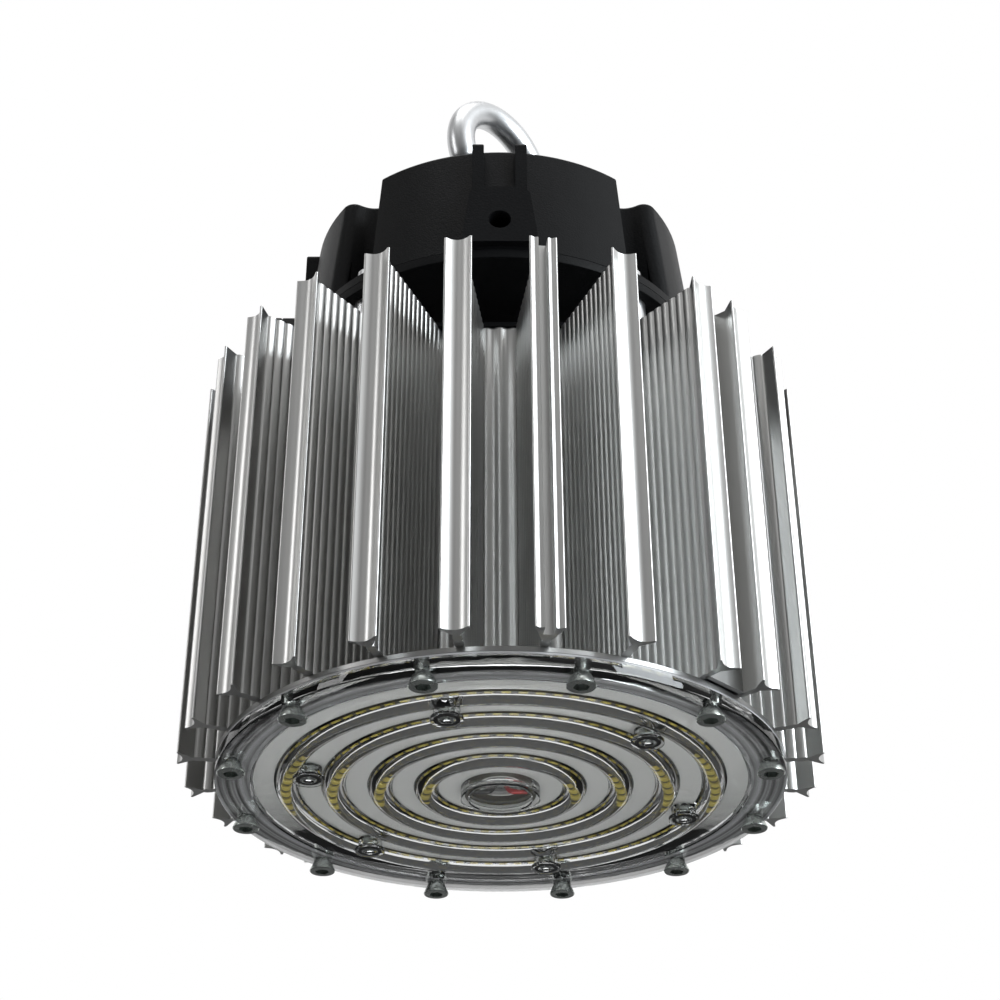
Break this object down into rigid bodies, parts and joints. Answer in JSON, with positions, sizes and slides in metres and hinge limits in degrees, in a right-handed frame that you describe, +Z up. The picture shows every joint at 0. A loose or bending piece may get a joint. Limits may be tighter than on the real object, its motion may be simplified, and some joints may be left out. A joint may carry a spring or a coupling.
{
  "type": "high bay light",
  "caption": "High bay LED light: finned extruded heat sink with a clear ringed lens below, a black cast driver housing above and a bar hook to hang it by",
  "frame": {"origin": "Inner top of the hook's loop, where the light hangs, on the light's centre line", "axes": "+Z up along the centre line, -Y the front with the bracket boss, +X to the right of the front view"},
  "size_m": [0.229, 0.229, 0.3285],
  "materials": {
    "anodised_aluminium": "clear-anodised extrusion, satin, faint lines along the draw",
    "plate_aluminium": "turned aluminium sheet, bright edge",
    "zinc_steel": "zinc-plated steel, satin",
    "zinc_hook": "bright zinc-plated bar",
    "stainless_steel": "stainless steel, satin",
    "clear_polycarbonate": "clear moulded polycarbonate, glossy",
    "white_board": "white solder mask",
    "led_phosphor": "yellow phosphor package",
    "thermal_pad": "soft grey pad",
    "black_rubber": "matte black rubber",
    "red_insulation": "satin red insulation",
    "black_insulation": "satin black insulation",
    "black_sheet": "black powder coat on sheet metal",
    "black_casting": "fine-textured black powder coat on cast aluminium",
    "black_nylon": "moulded black nylon",
    "circuit_board": "green solder mask",
    "transformer_tape": "taped transformer",
    "capacitor_sleeve": "sleeved aluminium can",
    "terminal_plastic": "moulded terminal block"
  },
  "bodies": {
    "root": {"heat_sink": "anodised_aluminium", "base_plate": "plate_aluminium", "plate_screws": "zinc_steel", "bracket_screws": "zinc_steel", "thermal_pad": "thermal_pad", "led_board": "white_board", "led_ring_1": "led_phosphor", "led_ring_2": "led_phosphor", "led_ring_3": "led_phosphor", "led_ring_4": "led_phosphor", "lens_cover": "clear_polycarbonate", "post_plugs": "clear_polycarbonate", "lens_gasket": "black_rubber", "plate_grommet": "black_rubber", "lid_grommet": "black_rubber", "housing_gasket": "black_rubber", "gland_seal": "black_rubber", "rim_screws": "stainless_steel", "post_screws": "stainless_steel", "red_lead": "red_insulation", "black_lead": "black_insulation", "mounting_plate": "black_sheet", "standoffs": "zinc_steel", "driver_housing": "black_casting", "housing_lid": "black_casting", "housing_screws": "zinc_steel", "housing_washers": "zinc_steel", "driver_board": "circuit_board", "driver_screws": "zinc_steel", "transformer": "transformer_tape", "capacitors": "capacitor_sleeve", "terminal_block": "terminal_plastic", "gland_body": "black_nylon", "gland_nut": "black_nylon", "hook": "zinc_hook", "hook_nut": "zinc_steel", "hook_washer": "zinc_steel", "hook_lock_nut": "zinc_steel"}
  },
  "joints": []
}
